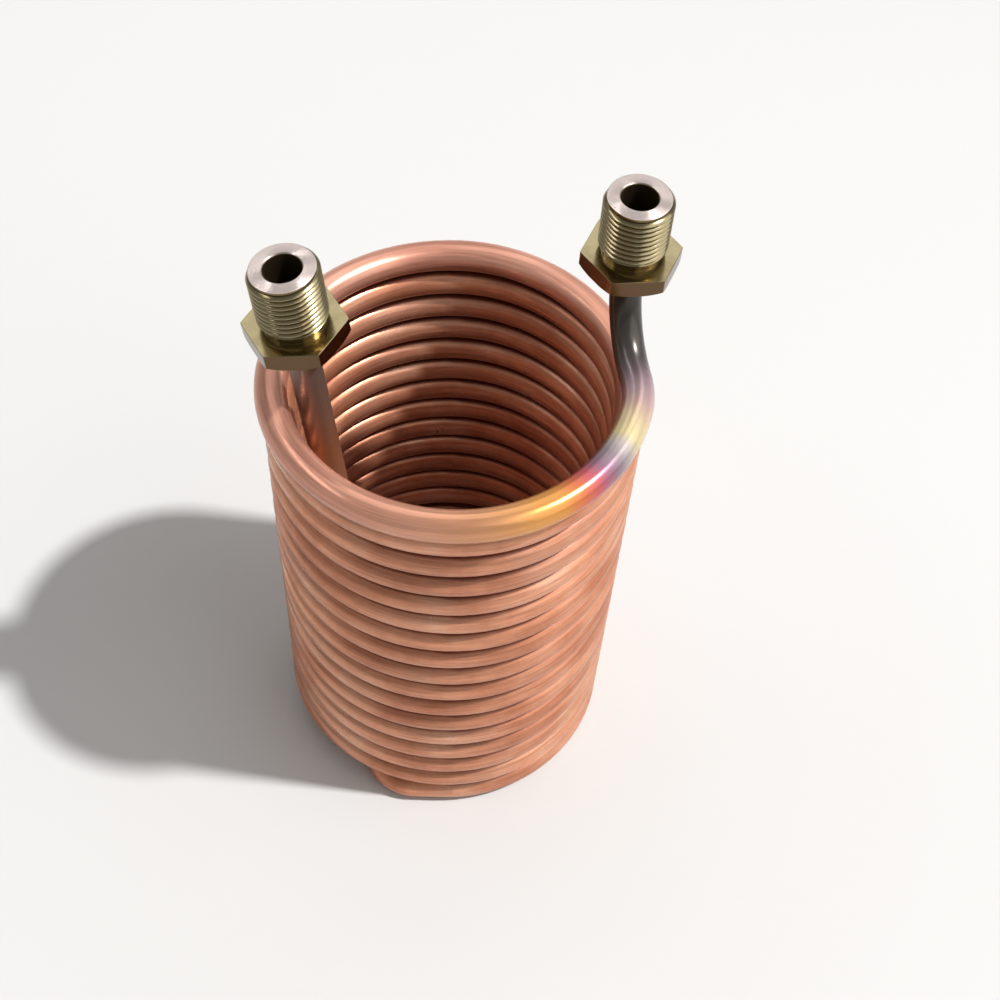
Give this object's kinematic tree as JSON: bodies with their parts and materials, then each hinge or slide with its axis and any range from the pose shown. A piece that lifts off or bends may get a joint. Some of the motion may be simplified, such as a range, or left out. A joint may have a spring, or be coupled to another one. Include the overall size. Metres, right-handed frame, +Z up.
{
  "type": "copper tube coil",
  "caption": "Close-wound helical copper tube coil that stands upright, with a male-threaded brass hexagon fitting brazed to each end, for heating or cooling a fluid that flows through it.",
  "frame": {"origin": "on the coil's axis, at the floor that its lowest turn stands on", "axes": "+Z up along the coil's axis, +X towards the fitting outside the coil, +Y away from the side where the lowest turn runs in to the inner riser"},
  "size_m": [0.1279, 0.123, 0.2389],
  "materials": {
    "copper": "drawn copper, satin, stained, with heat colours near the brazed ends",
    "fitting_brass": "turned brass, dulled by the brazing heat on the hexagons"
  },
  "bodies": {
    "root": {"coil_tube": "copper", "outer_fitting": "fitting_brass", "inner_fitting": "fitting_brass"}
  },
  "joints": []
}
